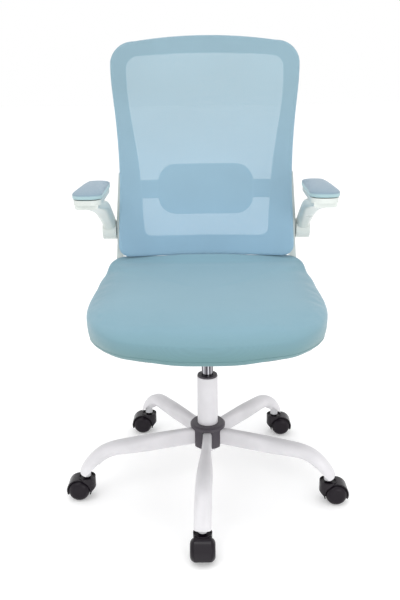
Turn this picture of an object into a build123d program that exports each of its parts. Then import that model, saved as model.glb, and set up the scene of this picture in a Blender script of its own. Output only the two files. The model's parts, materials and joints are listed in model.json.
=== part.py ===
from build123d import *
from math import cos, radians, sin
import os

os.makedirs("parts", exist_ok=True)

# Swivel office chair. Millimetres, +Z up, facing -Y. The origin is on the floor, on the column's axis.

# Driving dimensions
BASE_TURN = -2.4  # the base stands turned a little against the seat
STEM_RADIUS = 305.0  # column axis to castor stem
WHEEL_RADIUS = 25.0
CASTOR_TRAIL = 18.0  # castor stem to wheel axle
COLUMN_RADIUS = 25.0
CYLINDER_RADIUS = 14.0
COLUMN_TOP = 281.0
PAN_BOTTOM = 408.0
PAN_THICK = 12.0
SEAT_HALF = 270.0
SEAT_FRONT = -268.0
SEAT_REAR = 200.0
BACK_BOTTOM = 535.0
BACK_TOP = 1073.0
BACK_HALF = 230.0
FRAME_THICK = 14.0
MESH_THICK = 1.2
ARM_PIVOT = (220.0, 600.0)  # y and z of the flip-up axis
ARM_CENTRE = 255.0  # x of the middle of an armrest's pad
RUN = 0.06  # radial running clearance of pins and shafts
TILT_PIVOT = (-40.0, 388.0)  # y and z of the rocking axis


def save(builder, name):
    """Label a finished piece and write its STEP file."""
    builder.part.label = name
    export_step(builder.part, f"parts/{name}.step")


def placed_copy(shape, name, at=(0, 0, 0), angle=0.0):
    """Write a copy of a piece, turned about Z and moved."""
    with BuildPart() as copy:
        with Locations(Location(at, (0, 0, angle))):
            add(shape)
    save(copy, name)


def mirrored_copy(shape, name):
    """Write the other hand of a piece."""
    with BuildPart() as copy:
        mirror(shape, about=Plane.YZ)
    save(copy, name)


def ring(outer, inner, bottom, top, mode=Mode.ADD):
    """Add a plain tube about Z to the part being built, or cut one from it."""
    with BuildSketch(Plane.XY.offset(bottom)) as annulus:
        Circle(outer)
        Circle(inner, mode=Mode.SUBTRACT)
    extrude(annulus.sketch, amount=top - bottom, mode=mode)


# ---------------------------------------------------------------- five-legged base
LEG_NAMES = ("front", "right", "rear_right", "rear_left", "left")
LEG_ANGLES = [-90 + BASE_TURN + 72 * number for number in range(5)]
TRAIL_ANGLES = (-90, 0, 0, 180, 180)  # where each castor's wheels trail at rest

HUB_BOTTOM = 100.0
HUB_TOP = 158.0
SLEEVE_RADIUS = 31.0
LEG_WALL = 2.0
LEG_HUB_Z = 124.5
LEG_BEND_AT = 225.0  # where the straight stretch ends
LEG_BEND_Z = 121.0
LEG_BEND_RADIUS = 85.0
LEG_BEND_ANGLE = 72.0
LEG_HUB_SIZE = (21.0, 44.0)  # width and height of the oval section at the hub
LEG_END_SIZE = (38.0, 30.0)
SOCKET_RADIUS = 10.0
STEM_SHAFT = 5.0
SOCKET_BOTTOM = 58.0
SOCKET_TOP = 79.0


def share(value, low, high):
    """Smooth step from 0 at low to 1 at high."""
    part = min(max((value - low) / (high - low), 0), 1)
    return part * part * (3 - 2 * part)


def leg_stations():
    """Stations along a leg: distance out, height and downward angle."""
    for out in (24, 45, 70, 110, 150, 190, LEG_BEND_AT):
        drop = (out - 24) / (LEG_BEND_AT - 24)
        yield out, LEG_HUB_Z + drop * (LEG_BEND_Z - LEG_HUB_Z), 0.0
    for step in (1, 2, 3, 4):
        angle = LEG_BEND_ANGLE * step / 4
        out = LEG_BEND_AT + LEG_BEND_RADIUS * sin(radians(angle))
        yield out, LEG_BEND_Z - LEG_BEND_RADIUS * (1 - cos(radians(angle))), angle


def leg_sections(wall):
    """Draw a leg's oval sections, smaller all round by wall."""
    sections = []
    for out, height, angle in leg_stations():
        wide = LEG_HUB_SIZE[0] + share(out, 75, 205) * (LEG_END_SIZE[0] - LEG_HUB_SIZE[0]) - 2 * wall
        tall = LEG_HUB_SIZE[1] + share(out, 120, 300) * (LEG_END_SIZE[1] - LEG_HUB_SIZE[1]) - 2 * wall
        along = (cos(radians(angle)), 0, -sin(radians(angle)))
        with BuildSketch(Plane((out, 0, height), x_dir=(0, 1, 0), z_dir=along)) as oval:
            RectangleRounded(wide, tall, min(wide, tall) / 2 - 0.5)
        sections.append(oval.sketch)
    return sections


with BuildPart() as leg:
    loft(leg_sections(0))
    loft(leg_sections(LEG_WALL), mode=Mode.SUBTRACT)
    with Locations((0, 0, LEG_HUB_Z)):
        Cylinder(SLEEVE_RADIUS, 2 * LEG_HUB_SIZE[1], mode=Mode.SUBTRACT)
    with Locations((STEM_RADIUS, 0, SOCKET_TOP / 2)):
        Cylinder(SOCKET_RADIUS, SOCKET_TOP, mode=Mode.SUBTRACT)
    # the mouth is cut aslant, so that it opens towards the hub
    with BuildSketch(Plane.XZ):
        with BuildLine():
            Polyline((276, 92.3), (322, 54.4), (322, 30), (276, 30), close=True)
        make_face()
    extrude(amount=LEG_END_SIZE[0], both=True, mode=Mode.SUBTRACT)

for leg_name, leg_angle in zip(LEG_NAMES, LEG_ANGLES):
    placed_copy(leg.part, f"leg_{leg_name}", angle=leg_angle)

with BuildPart() as castor_sockets:
    with PolarLocations(STEM_RADIUS, 5, start_angle=LEG_ANGLES[0]):
        with Locations((0, 0, (SOCKET_BOTTOM + SOCKET_TOP) / 2)):
            Cylinder(SOCKET_RADIUS, SOCKET_TOP - SOCKET_BOTTOM)
            Cylinder(STEM_SHAFT + RUN, SOCKET_TOP - SOCKET_BOTTOM, mode=Mode.SUBTRACT)
save(castor_sockets, "castor_sockets")

with BuildPart() as hub_sleeve:
    ring(SLEEVE_RADIUS, COLUMN_RADIUS, HUB_BOTTOM - 2, HUB_TOP - 8)
save(hub_sleeve, "hub_sleeve")

with BuildPart() as hub_cover:
    with BuildSketch(Plane.XZ):
        with BuildLine():
            Polyline(
                (SLEEVE_RADIUS + 0.3, HUB_BOTTOM),
                (38, HUB_BOTTOM),
                (38, HUB_TOP - 13),
                (43, HUB_TOP - 10),
                (43, HUB_TOP - 4),
                (39, HUB_TOP),
                (COLUMN_RADIUS + 0.3, HUB_TOP),
                (COLUMN_RADIUS + 0.3, HUB_TOP - 6.5),
                (SLEEVE_RADIUS + 0.3, HUB_TOP - 6.5),
                close=True,
            )
        make_face()
    revolve(axis=Axis.Z)
    # an arched slot lets each leg through
    for leg_angle in LEG_ANGLES:
        outward = (cos(radians(leg_angle)), sin(radians(leg_angle)), 0)
        sideways = (-sin(radians(leg_angle)), cos(radians(leg_angle)), 0)
        with BuildSketch(Plane((0, 0, LEG_HUB_Z - 8), x_dir=sideways, z_dir=outward)):
            RectangleRounded(LEG_HUB_SIZE[0] + 1.6, LEG_HUB_SIZE[1] + 17.6, LEG_HUB_SIZE[0] / 2)
        extrude(amount=60, mode=Mode.SUBTRACT)
save(hub_cover, "hub_cover")

# ---------------------------------------------------------------- castors
AXLE_RADIUS = 3.0
WEB_HALF = 7.0
HOOD_HALF = 18.0
HOOD_BOTTOM = 15.0
COLLAR_RADIUS = 20.5
COLLAR_TOP = 55.5
COLLAR_TIP = 19.0
WHEEL_INNER = 8.0
WHEEL_OUTER = 27.0
HOOD_RADIUS = 29.5
WHEEL_ROOM = 26.5
SIDEWAYS = Plane.XZ  # drawing plane across the axle; its normal is -Y

with BuildPart() as castor_hood:
    with BuildSketch(SIDEWAYS):
        with Locations((CASTOR_TRAIL, WHEEL_RADIUS)):
            Circle(HOOD_RADIUS)
        with Locations((CASTOR_TRAIL, HOOD_BOTTOM)):
            Rectangle(80, 60, align=(Align.CENTER, Align.MAX), mode=Mode.SUBTRACT)
    extrude(amount=HOOD_HALF, both=True)
    # a wide collar under the leg's end, cut back to a point below
    with BuildSketch(Plane.XY.offset(COLLAR_TIP)):
        Circle(COLLAR_RADIUS)
    extrude(amount=COLLAR_TOP - COLLAR_TIP)
    with BuildSketch(SIDEWAYS):
        with BuildLine():
            front = COLLAR_RADIUS + 1
            Polyline((-front, COLLAR_TIP - 1), (-front, 29), (-18, 26.5), (-8, COLLAR_TIP - 1), close=True)
        make_face()
    extrude(amount=30, both=True, mode=Mode.SUBTRACT)
    ring(COLLAR_RADIUS - 2.5, 8, COLLAR_TOP - 3, COLLAR_TOP, Mode.SUBTRACT)
    for side in (-1, 1):
        with BuildSketch(SIDEWAYS.offset(side * WEB_HALF)):
            with Locations((CASTOR_TRAIL, WHEEL_RADIUS)):
                Circle(WHEEL_ROOM)
        extrude(amount=side * 30, mode=Mode.SUBTRACT)
    with BuildSketch(SIDEWAYS):
        with Locations((CASTOR_TRAIL, WHEEL_RADIUS)):
            Circle(13)
    extrude(amount=WEB_HALF, both=True)
    with BuildSketch(SIDEWAYS):
        with Locations((CASTOR_TRAIL, WHEEL_RADIUS)):
            Circle(AXLE_RADIUS)
    extrude(amount=40, both=True, mode=Mode.SUBTRACT)
    with BuildSketch(Plane.XY.offset(WHEEL_RADIUS + 5)):
        Circle(STEM_SHAFT)
    extrude(amount=40, mode=Mode.SUBTRACT)

with BuildPart() as castor_pins:
    with BuildSketch(Plane.XY.offset(WHEEL_RADIUS + 5)):
        Circle(STEM_SHAFT)
    extrude(amount=SOCKET_TOP - WHEEL_RADIUS - 6)
    with BuildSketch(SIDEWAYS):
        with Locations((CASTOR_TRAIL, WHEEL_RADIUS)):
            Circle(AXLE_RADIUS)
    extrude(amount=WHEEL_OUTER - 4, both=True)

with BuildPart() as castor_wheel:
    with BuildSketch(SIDEWAYS.offset(WHEEL_INNER)):
        with Locations((CASTOR_TRAIL, WHEEL_RADIUS)):
            Circle(WHEEL_RADIUS)
    extrude(amount=WHEEL_OUTER - WHEEL_INNER)
    fillet(castor_wheel.edges().group_by(Axis.Y)[0], 12)
    fillet(castor_wheel.edges().group_by(Axis.Y)[-1], 2)
    with BuildSketch(SIDEWAYS.offset(WHEEL_INNER)):
        with Locations((CASTOR_TRAIL, WHEEL_RADIUS)):
            Circle(AXLE_RADIUS + RUN)
    extrude(amount=WHEEL_OUTER - WHEEL_INNER - 3.5, mode=Mode.SUBTRACT)

with BuildPart() as far_wheel:
    mirror(castor_wheel.part, about=Plane.XZ)

for leg_name, leg_angle, trail_angle in zip(LEG_NAMES, LEG_ANGLES, TRAIL_ANGLES):
    stem_at = (STEM_RADIUS * cos(radians(leg_angle)), STEM_RADIUS * sin(radians(leg_angle)), 0)
    placed_copy(castor_hood.part, f"castor_hood_{leg_name}", stem_at, trail_angle)
    placed_copy(castor_pins.part, f"castor_pins_{leg_name}", stem_at, trail_angle)
    placed_copy(castor_wheel.part, f"castor_wheel_a_{leg_name}", stem_at, trail_angle)
    placed_copy(far_wheel.part, f"castor_wheel_b_{leg_name}", stem_at, trail_angle)

# ---------------------------------------------------------------- gas lift
TUBE_BOTTOM = 88.0
TUBE_WALL = 2.0
FLOOR_PLATE = 4.0
ROD_RADIUS = 5.0
BORE_RADIUS = 12.0
CYLINDER_BOTTOM = 158.0
CYLINDER_TOP = 378.0
TAPER_LENGTH = 42.0
TAPER_RADIUS = 13.3
RELEASE_RADIUS = 2.9

with BuildPart() as lift_tube:
    ring(COLUMN_RADIUS, COLUMN_RADIUS - TUBE_WALL, TUBE_BOTTOM, COLUMN_TOP)
    ring(COLUMN_RADIUS - TUBE_WALL, ROD_RADIUS + 1, TUBE_BOTTOM, TUBE_BOTTOM + FLOOR_PLATE)
save(lift_tube, "lift_tube")

with BuildPart() as guide_bushing:
    ring(COLUMN_RADIUS - TUBE_WALL, CYLINDER_RADIUS + RUN, COLUMN_TOP - 55, COLUMN_TOP)
    ring(COLUMN_RADIUS - 1, CYLINDER_RADIUS + RUN, COLUMN_TOP, COLUMN_TOP + 4)
save(guide_bushing, "guide_bushing")

with BuildPart() as thrust_bearing:
    ring(12, ROD_RADIUS + 1, TUBE_BOTTOM + FLOOR_PLATE, TUBE_BOTTOM + FLOOR_PLATE + 6)
save(thrust_bearing, "thrust_bearing")

with BuildPart() as piston_rod:
    with BuildSketch(Plane.XY.offset(TUBE_BOTTOM - 6)):
        Circle(ROD_RADIUS)
    extrude(amount=302 - TUBE_BOTTOM)
    ring(11, ROD_RADIUS, TUBE_BOTTOM + FLOOR_PLATE + 6.3, TUBE_BOTTOM + FLOOR_PLATE + 9.3)
    ring(BORE_RADIUS - RUN, ROD_RADIUS, 288, 296)
save(piston_rod, "piston_rod")

with BuildPart() as retaining_clip:
    ring(9, ROD_RADIUS, TUBE_BOTTOM - 3.3, TUBE_BOTTOM - 1.3)
save(retaining_clip, "retaining_clip")

with BuildPart() as lift_cylinder:
    with BuildSketch(Plane.XZ):
        with BuildLine():
            Polyline(
                (BORE_RADIUS, CYLINDER_BOTTOM),
                (CYLINDER_RADIUS, CYLINDER_BOTTOM),
                (CYLINDER_RADIUS, CYLINDER_TOP - TAPER_LENGTH),
                (TAPER_RADIUS, CYLINDER_TOP),
                (RELEASE_RADIUS + RUN, CYLINDER_TOP),
                (RELEASE_RADIUS + RUN, CYLINDER_TOP - 14),
                (BORE_RADIUS, CYLINDER_TOP - 14),
                close=True,
            )
        make_face()
    revolve(axis=Axis.Z)
save(lift_cylinder, "lift_cylinder")

with BuildPart() as cylinder_gland:
    ring(BORE_RADIUS, ROD_RADIUS + RUN, CYLINDER_BOTTOM, CYLINDER_BOTTOM + 12)
save(cylinder_gland, "cylinder_gland")

with BuildPart() as release_pin:
    with BuildSketch(Plane.XY.offset(CYLINDER_TOP - 13)):
        Circle(RELEASE_RADIUS)
    extrude(amount=21)
save(release_pin, "release_pin")

# ---------------------------------------------------------------- tilt mechanism
HOUSING_HALF = 52.0
HOUSING_FRONT = -80.0
HOUSING_REAR = 80.0
HOUSING_BOTTOM = 352.0
SHEET = 2.5
SOCKET_OUTER = 19.0
TILT_PIN_RADIUS = 5.0
LUG_GAP = 2.5
ROCKER_PIVOT = (-26.0, 383.0)  # x and z of the lever's pivot
LEVER_RADIUS = 4.0
LEVER_Z = 379.0
KNOB_Z = 374.0

with BuildPart() as mechanism_housing:
    with BuildSketch(Plane.YZ):
        with BuildLine():
            Polyline(
                (HOUSING_FRONT, HOUSING_BOTTOM),
                (HOUSING_FRONT, 396),
                (TILT_PIVOT[0], 399),
                (HOUSING_REAR, 367),
                (HOUSING_REAR, HOUSING_BOTTOM),
                close=True,
            )
        make_face()
    extrude(amount=HOUSING_HALF, both=True)
    with BuildSketch(Plane.XY.offset(HOUSING_BOTTOM + SHEET)):
        Rectangle(2 * (HOUSING_HALF - SHEET), HOUSING_REAR - HOUSING_FRONT - 2 * SHEET)
    extrude(amount=80, mode=Mode.SUBTRACT)
    # two ears carry the lever's rocker
    for side in (-1, 1):
        with BuildSketch(Plane.XZ.offset(side * 11.5)):
            with Locations((ROCKER_PIVOT[0], (HOUSING_BOTTOM + 386.5) / 2)):
                Rectangle(9, 386.5 - HOUSING_BOTTOM)
        extrude(amount=side * 3)
    # the welded socket that grips the gas lift's taper
    with BuildSketch(Plane.XY.offset(CYLINDER_TOP - TAPER_LENGTH)):
        Circle(SOCKET_OUTER)
    extrude(amount=TAPER_LENGTH)
    with BuildSketch(Plane.XY.offset(CYLINDER_TOP - TAPER_LENGTH)) as taper_low:
        Circle(CYLINDER_RADIUS)
    with BuildSketch(Plane.XY.offset(CYLINDER_TOP)) as taper_high:
        Circle(TAPER_RADIUS)
    loft([taper_low.sketch, taper_high.sketch], mode=Mode.SUBTRACT)
    with BuildSketch(Plane.YZ.offset(-90)):
        with Locations(TILT_PIVOT):
            Circle(TILT_PIN_RADIUS)
    extrude(amount=180, mode=Mode.SUBTRACT)
    with BuildSketch(Plane.XZ.offset(-20)):
        with Locations(ROCKER_PIVOT):
            Circle(2.5)
    extrude(amount=40, mode=Mode.SUBTRACT)
    # the lever's tube leaves through a slot in the side wall
    with BuildSketch(Plane.YZ.offset(-HOUSING_HALF - 1)):
        with Locations((0, LEVER_Z + 1)):
            RectangleRounded(18, 20, 4)
    extrude(amount=SHEET + 2, mode=Mode.SUBTRACT)
    with BuildSketch(Plane.XZ.offset(-HOUSING_FRONT + 1)):
        with Locations((0, KNOB_Z)):
            Circle(4 + RUN)
    extrude(amount=-SHEET - 2, mode=Mode.SUBTRACT)
save(mechanism_housing, "mechanism_housing")

with BuildPart() as mechanism_pins:
    with BuildSketch(Plane.YZ.offset(-HOUSING_HALF - LUG_GAP - 6)):
        with Locations(TILT_PIVOT):
            Circle(TILT_PIN_RADIUS)
    extrude(amount=2 * (HOUSING_HALF + LUG_GAP + 6))
    with BuildSketch(Plane.XZ.offset(-14.5)):
        with Locations(ROCKER_PIVOT):
            Circle(2.5)
    extrude(amount=29)
save(mechanism_pins, "mechanism_pins")

with BuildPart() as tilt_springs:
    for side in (-1, 1):
        with BuildSketch(Plane.YZ.offset(side * 14)):
            with Locations(TILT_PIVOT):
                Circle(10)
                Circle(TILT_PIN_RADIUS + 0.8, mode=Mode.SUBTRACT)
        extrude(amount=side * 32)
save(tilt_springs, "tilt_springs")

with BuildPart() as lever_rocker:
    # a finger over the lift's release pin, a block at the pivot and a tube for the lever
    with BuildSketch(Plane.XZ.offset(-7)):
        with BuildLine():
            Polyline((-34, 386.5), (-34, 389.5), (5, 389.5), (5, 386.5), close=True)
        make_face()
        with Locations((-27, 382.5)):
            Rectangle(14, 14)
    extrude(amount=14)
    with BuildSketch(Plane.YZ.offset(-66)):
        with Locations((0, LEVER_Z)):
            Circle(7)
    extrude(amount=34)
    with BuildSketch(Plane.YZ.offset(-70)):
        with Locations((0, LEVER_Z)):
            Circle(LEVER_RADIUS + RUN)
    extrude(amount=39, mode=Mode.SUBTRACT)
    with BuildSketch(Plane.XZ.offset(-20)):
        with Locations(ROCKER_PIVOT):
            Circle(2.5 + RUN)
    extrude(amount=40, mode=Mode.SUBTRACT)
save(lever_rocker, "lever_rocker")

with BuildPart() as lever_rod:
    with BuildSketch(Plane.YZ.offset(-165)):
        with Locations((0, LEVER_Z)):
            Circle(LEVER_RADIUS)
    extrude(amount=133)
save(lever_rod, "lever_rod")

with BuildPart() as lever_paddle:
    # the paddle lies ahead of its rod, clear of the seat when that rocks back
    with BuildSketch(Plane.XY.offset(LEVER_Z - 6)):
        with Locations((-182, -14)):
            RectangleRounded(66, 28, 12)
    extrude(amount=10.5)
    fillet(lever_paddle.edges().group_by(Axis.Z)[-1], 3)
    with BuildSketch(Plane.YZ.offset(-170)):
        with Locations((0, LEVER_Z)):
            Circle(7)
    extrude(amount=21)
    with BuildSketch(Plane.YZ.offset(-165)):
        with Locations((0, LEVER_Z)):
            Circle(LEVER_RADIUS)
    extrude(amount=30, mode=Mode.SUBTRACT)
save(lever_paddle, "lever_paddle")

with BuildPart() as tension_knob:
    with BuildSketch(Plane.XZ.offset(-HOUSING_FRONT + 5)):
        with Locations((0, KNOB_Z)):
            Circle(16)
            with PolarLocations(18.5, 8):
                Circle(4, mode=Mode.SUBTRACT)
    extrude(amount=22)
    with BuildSketch(Plane.XZ.offset(-HOUSING_FRONT - 22)):
        with Locations((0, KNOB_Z)):
            Circle(4)
    extrude(amount=27)
save(tension_knob, "tension_knob")

# ---------------------------------------------------------------- seat
PLATE_THICK = 2.5
CUSHION_BOTTOM = PAN_BOTTOM + PAN_THICK
SCREW_RADIUS = 3.0
PAN_INSET = 16.0  # the cushion overhangs the pan
PAN_FRONT_INSET = 32.0
SCREW_GRIP = 8.0  # how far the seat's screws reach into the pan
FOOT_SCREWS = [(x, y) for x in (-215, 215) for y in (125, 178)]
PLATE_SCREWS = [(x, y) for x in (-82, 82) for y in (-92, 82)]

with BuildPart() as seat_plate:
    with BuildSketch(Plane.XY.offset(PAN_BOTTOM - PLATE_THICK)):
        with Locations((0, -5)):
            RectangleRounded(190, 200, 14)
        with Locations(PLATE_SCREWS):
            Circle(SCREW_RADIUS, mode=Mode.SUBTRACT)
    extrude(amount=PLATE_THICK)
    for side in (-1, 1):
        with BuildSketch(Plane.YZ.offset(side * (HOUSING_HALF + LUG_GAP))):
            with BuildLine():
                Polyline(
                    (TILT_PIVOT[0] - 24, PAN_BOTTOM - PLATE_THICK),
                    (TILT_PIVOT[0] - 12, TILT_PIVOT[1] - 12),
                    (TILT_PIVOT[0] + 12, TILT_PIVOT[1] - 12),
                    (TILT_PIVOT[0] + 24, PAN_BOTTOM - PLATE_THICK),
                    close=True,
                )
            make_face()
            with Locations(TILT_PIVOT):
                Circle(TILT_PIN_RADIUS + RUN, mode=Mode.SUBTRACT)
        extrude(amount=side * 3)
save(seat_plate, "seat_plate")


def seat_outline(side, front, height):
    """Draw the seat's plan at a height, smaller by one inset at its sides and rear and one at its front."""
    with BuildLine() as plan:
        half_plan = Spline(
            (0, SEAT_FRONT + front),
            (105 - front * 0.2, SEAT_FRONT + 8 + front),
            (195 - front * 0.6, SEAT_FRONT + 43 + front * 0.8),
            (SEAT_HALF - 18 - side, -150 + front * 0.3),
            (SEAT_HALF - side, -40),
            (SEAT_HALF - 8 - side, 80),
            (SEAT_HALF - 28 - side, 160),
            tangents=((1, 0), (-0.35, 1)),
        )
        rear = SEAT_REAR - side
        corner = ThreePointArc(half_plan @ 1, (222 - side, rear - 10 + side * 0.3), (190 - side, rear))
        Line(corner @ 1, (0, rear))
        mirror(plan.line, about=Plane.YZ)
    with BuildSketch(Plane.XY.offset(height)) as face:
        make_face(plan.line)
    return face.sketch


with BuildPart() as seat_pan:
    extrude(seat_outline(PAN_INSET, PAN_FRONT_INSET, PAN_BOTTOM), amount=PAN_THICK)
    with BuildSketch(Plane.XY.offset(PAN_BOTTOM)):
        with Locations(FOOT_SCREWS + PLATE_SCREWS):
            Circle(SCREW_RADIUS)
    extrude(amount=SCREW_GRIP, mode=Mode.SUBTRACT)
save(seat_pan, "seat_pan")

with BuildPart() as seat_cushion:
    with BuildSketch(Plane.YZ):
        with BuildLine():
            top = Spline(
                (SEAT_FRONT, 446),
                (SEAT_FRONT + 26, 473),
                (-150, 491),
                (0, 498),
                (120, 508),
                (SEAT_REAR, 530),
                tangents=((0.2, 1), (1, 0.4)),
            )
            Polyline(top @ 1, (SEAT_REAR, CUSHION_BOTTOM), (SEAT_FRONT + 14, CUSHION_BOTTOM), top @ 0)
        make_face()
    extrude(amount=SEAT_HALF + 10, both=True)
    extrude(seat_outline(0, 0, CUSHION_BOTTOM), amount=150, mode=Mode.INTERSECT)
save(seat_cushion, "seat_cushion")

# ---------------------------------------------------------------- backrest
SPINE_START = (214.0, BACK_BOTTOM - 15)
SPINE_MIDDLE = (215.2, 800.0)
SPINE_END = (292.0, BACK_TOP + 15)
SIDES_FORWARD = 25.0  # the back curves round the sitter by this much at its edges
PLAN_RADIUS = (BACK_HALF**2 + SIDES_FORWARD**2) / (2 * SIDES_FORWARD)
BAND_HALF_ANGLE = 13.0
BEHIND = Plane.XZ.offset(-400)  # an upright plane behind the back; its normal is -Y


def back_layer(rear, front):
    """Sweep a curved sheet up the back's spine, between two offsets behind its middle surface."""
    with BuildLine(Plane.YZ) as spine:
        ThreePointArc(SPINE_START, SPINE_MIDDLE, SPINE_END)
    foot = Plane((0, *SPINE_START), x_dir=(1, 0, 0), z_dir=spine.line % 0)
    middle = (0, -PLAN_RADIUS)
    with BuildSketch(foot) as band:
        with BuildLine():
            outer = CenterArc(middle, PLAN_RADIUS + rear, 90 - BAND_HALF_ANGLE, 2 * BAND_HALF_ANGLE)
            inner = CenterArc(middle, PLAN_RADIUS + front, 90 - BAND_HALF_ANGLE, 2 * BAND_HALF_ANGLE)
            Line(outer @ 0, inner @ 0)
            Line(outer @ 1, inner @ 1)
        make_face()
    sweep(band.sketch, path=spine.line)


def back_outline(inset):
    """Draw the back's outline in an upright plane behind it, smaller all round by inset."""
    with BuildLine() as edge:
        low = (197, BACK_BOTTOM + inset)
        foot = ThreePointArc(low, (215 - inset * 0.7, 543 + inset * 0.7), (223 - inset, 562))
        side = Spline(
            foot @ 1,
            (213 - inset, 752),
            (223 - inset, 920),
            (BACK_HALF - inset, 1012),
            tangents=((-0.05, 1), (0, 1)),
        )
        shoulder = ThreePointArc(
            side @ 1,
            (216 - inset * 0.8, 1042 - inset * 0.6),
            (176 - inset * 0.3, 1059 - inset),
        )
        ThreePointArc(shoulder @ 1, (0, BACK_TOP - inset), (-176 + inset * 0.3, 1059 - inset))
        mirror(side, about=Plane.YZ)
        mirror(shoulder, about=Plane.YZ)
        mirror(foot, about=Plane.YZ)
        Line(low, (-low[0], low[1]))
    with BuildSketch(BEHIND) as face:
        make_face(edge.line)
    return face.sketch


def back_window():
    """Draw the big opening of the back's frame."""
    with BuildLine() as edge:
        foot = ThreePointArc((138, 586), (153, 592), (159, 606))
        side = Spline(foot @ 1, (168, 775), (190, 925), (194, 1000), tangents=((0.03, 1), (0, 1)))
        shoulder = ThreePointArc(side @ 1, (185, 1018), (165, 1026))
        ThreePointArc(shoulder @ 1, (0, 1033), (-165, 1026))
        mirror(side, about=Plane.YZ)
        mirror(shoulder, about=Plane.YZ)
        mirror(foot, about=Plane.YZ)
        Line((138, 586), (-138, 586))
    with BuildSketch(BEHIND) as face:
        make_face(edge.line)
    return face.sketch


# screws hold the frame to the two uprights
BACK_SCREWS = [(x, z) for x in (-208, 208) for z in (700, 735)]
SCREW_TIP_Y = 187.0

with BuildPart() as back_frame:
    back_layer(FRAME_THICK / 2, -FRAME_THICK / 2)
    extrude(back_outline(0), amount=400, mode=Mode.INTERSECT)
    extrude(back_window(), amount=400, mode=Mode.SUBTRACT)
    with BuildSketch(Plane.XZ.offset(-SCREW_TIP_Y)):
        with Locations(BACK_SCREWS):
            Circle(SCREW_RADIUS)
    extrude(amount=-40, mode=Mode.SUBTRACT)
save(back_frame, "back_frame")

with BuildPart() as back_mesh:
    back_layer(-FRAME_THICK / 2, -FRAME_THICK / 2 - MESH_THICK)
    extrude(back_outline(3), amount=400, mode=Mode.INTERSECT)
save(back_mesh, "back_mesh")

RAIL_REAR = 19.0
RAIL_FRONT = 12.0
CARRIER_GAP = 1.4  # lets the curved carrier slide straight past the rail
LUMBAR_Z = 704.5


def upright_rectangle(wide, low, high, radius):
    """Draw a rounded rectangle in the upright plane behind the back."""
    with BuildSketch(BEHIND) as face:
        with Locations((0, (low + high) / 2)):
            RectangleRounded(wide, high - low, radius)
    return face.sketch


# the rail's middle stands off the frame, so that the pad's carrier passes in front of it
with BuildPart() as rail_relief:
    back_layer(RAIL_FRONT, 0)
    extrude(upright_rectangle(340, 660, 750, 4), amount=400, mode=Mode.INTERSECT)

with BuildPart() as lumbar_rail:
    back_layer(RAIL_REAR, FRAME_THICK / 2)
    extrude(upright_rectangle(396, 681, 727, 8), amount=400, mode=Mode.INTERSECT)
    add(rail_relief.part, mode=Mode.SUBTRACT)
save(lumbar_rail, "lumbar_rail")

with BuildPart() as lumbar_pad:
    back_layer(8, -3)
    extrude(upright_rectangle(243, LUMBAR_Z - 64, LUMBAR_Z + 64, 45), amount=400, mode=Mode.INTERSECT)
save(lumbar_pad, "lumbar_pad")

with BuildPart() as lumbar_carrier:
    back_layer(RAIL_FRONT - CARRIER_GAP, 8)
    extrude(upright_rectangle(200, LUMBAR_Z - 46, LUMBAR_Z + 46, 30), amount=400, mode=Mode.INTERSECT)
save(lumbar_carrier, "lumbar_carrier")

# ---------------------------------------------------------------- uprights
UPRIGHT_FRONT = 201.0
UPRIGHT_REAR = 240.0
FOOT_BOTTOM = 391.0
ARM_INNER = 231.5  # x of the armrest's inner pivot face
ARM_PIN_RADIUS = 5.0

with BuildPart() as upright_right:
    with BuildSketch(Plane.XZ.offset(-UPRIGHT_REAR)):
        with BuildLine():
            outer = Polyline((219, 747), (229.5, 624), (230, 568), (235, 513))
            bend = Spline(outer @ 1, (242, 450), (230, FOOT_BOTTOM), tangents=((0.12, -1), (-1, -0.3)))
            inner = Polyline(bend @ 1, (200, FOOT_BOTTOM), (200, PAN_BOTTOM - 0.5), (212, PAN_BOTTOM - 0.5))
            rise = Spline(inner @ 1, (225, 450), (218, 513), tangents=((1, 0.5), (-0.1, 1)))
            Polyline(rise @ 1, (210, 624), (201, 680), (197, 747), outer @ 0)
        make_face()
    extrude(amount=UPRIGHT_REAR - UPRIGHT_FRONT)
    with BuildSketch(Plane.XY.offset(FOOT_BOTTOM)):
        with Locations((217, (105 + UPRIGHT_FRONT) / 2)):
            Rectangle(34, UPRIGHT_FRONT - 105)
    extrude(amount=PAN_BOTTOM - FOOT_BOTTOM)
    with BuildSketch(Plane.YZ.offset(ARM_INNER - 9)):
        with Locations(ARM_PIVOT):
            Circle(13)
    extrude(amount=8.5)
    with BuildSketch(Plane.YZ.offset(ARM_INNER - 26)):
        with Locations(ARM_PIVOT):
            Circle(ARM_PIN_RADIUS)
    extrude(amount=30, mode=Mode.SUBTRACT)
    with BuildSketch(Plane.XZ.offset(-UPRIGHT_REAR - 1)):
        with Locations(BACK_SCREWS):
            Circle(SCREW_RADIUS)
    extrude(amount=60, mode=Mode.SUBTRACT)
    with BuildSketch(Plane.XY.offset(FOOT_BOTTOM - 1)):
        with Locations(FOOT_SCREWS):
            Circle(SCREW_RADIUS)
    extrude(amount=30, mode=Mode.SUBTRACT)
save(upright_right, "upright_right")
mirrored_copy(upright_right.part, "upright_left")

with BuildPart() as upright_crossbar:
    with BuildSketch(Plane.XY.offset(FOOT_BOTTOM + 3)):
        with Locations((0, 165)):
            Rectangle(400, 36)
    extrude(amount=PAN_BOTTOM - FOOT_BOTTOM - 3)
save(upright_crossbar, "upright_crossbar")

with BuildPart() as arm_pins:
    for side in (-1, 1):
        with BuildSketch(Plane.YZ.offset(side * (ARM_INNER - 20))):
            with Locations(ARM_PIVOT):
                Circle(ARM_PIN_RADIUS)
        extrude(amount=side * 44)
save(arm_pins, "arm_pins")

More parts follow.
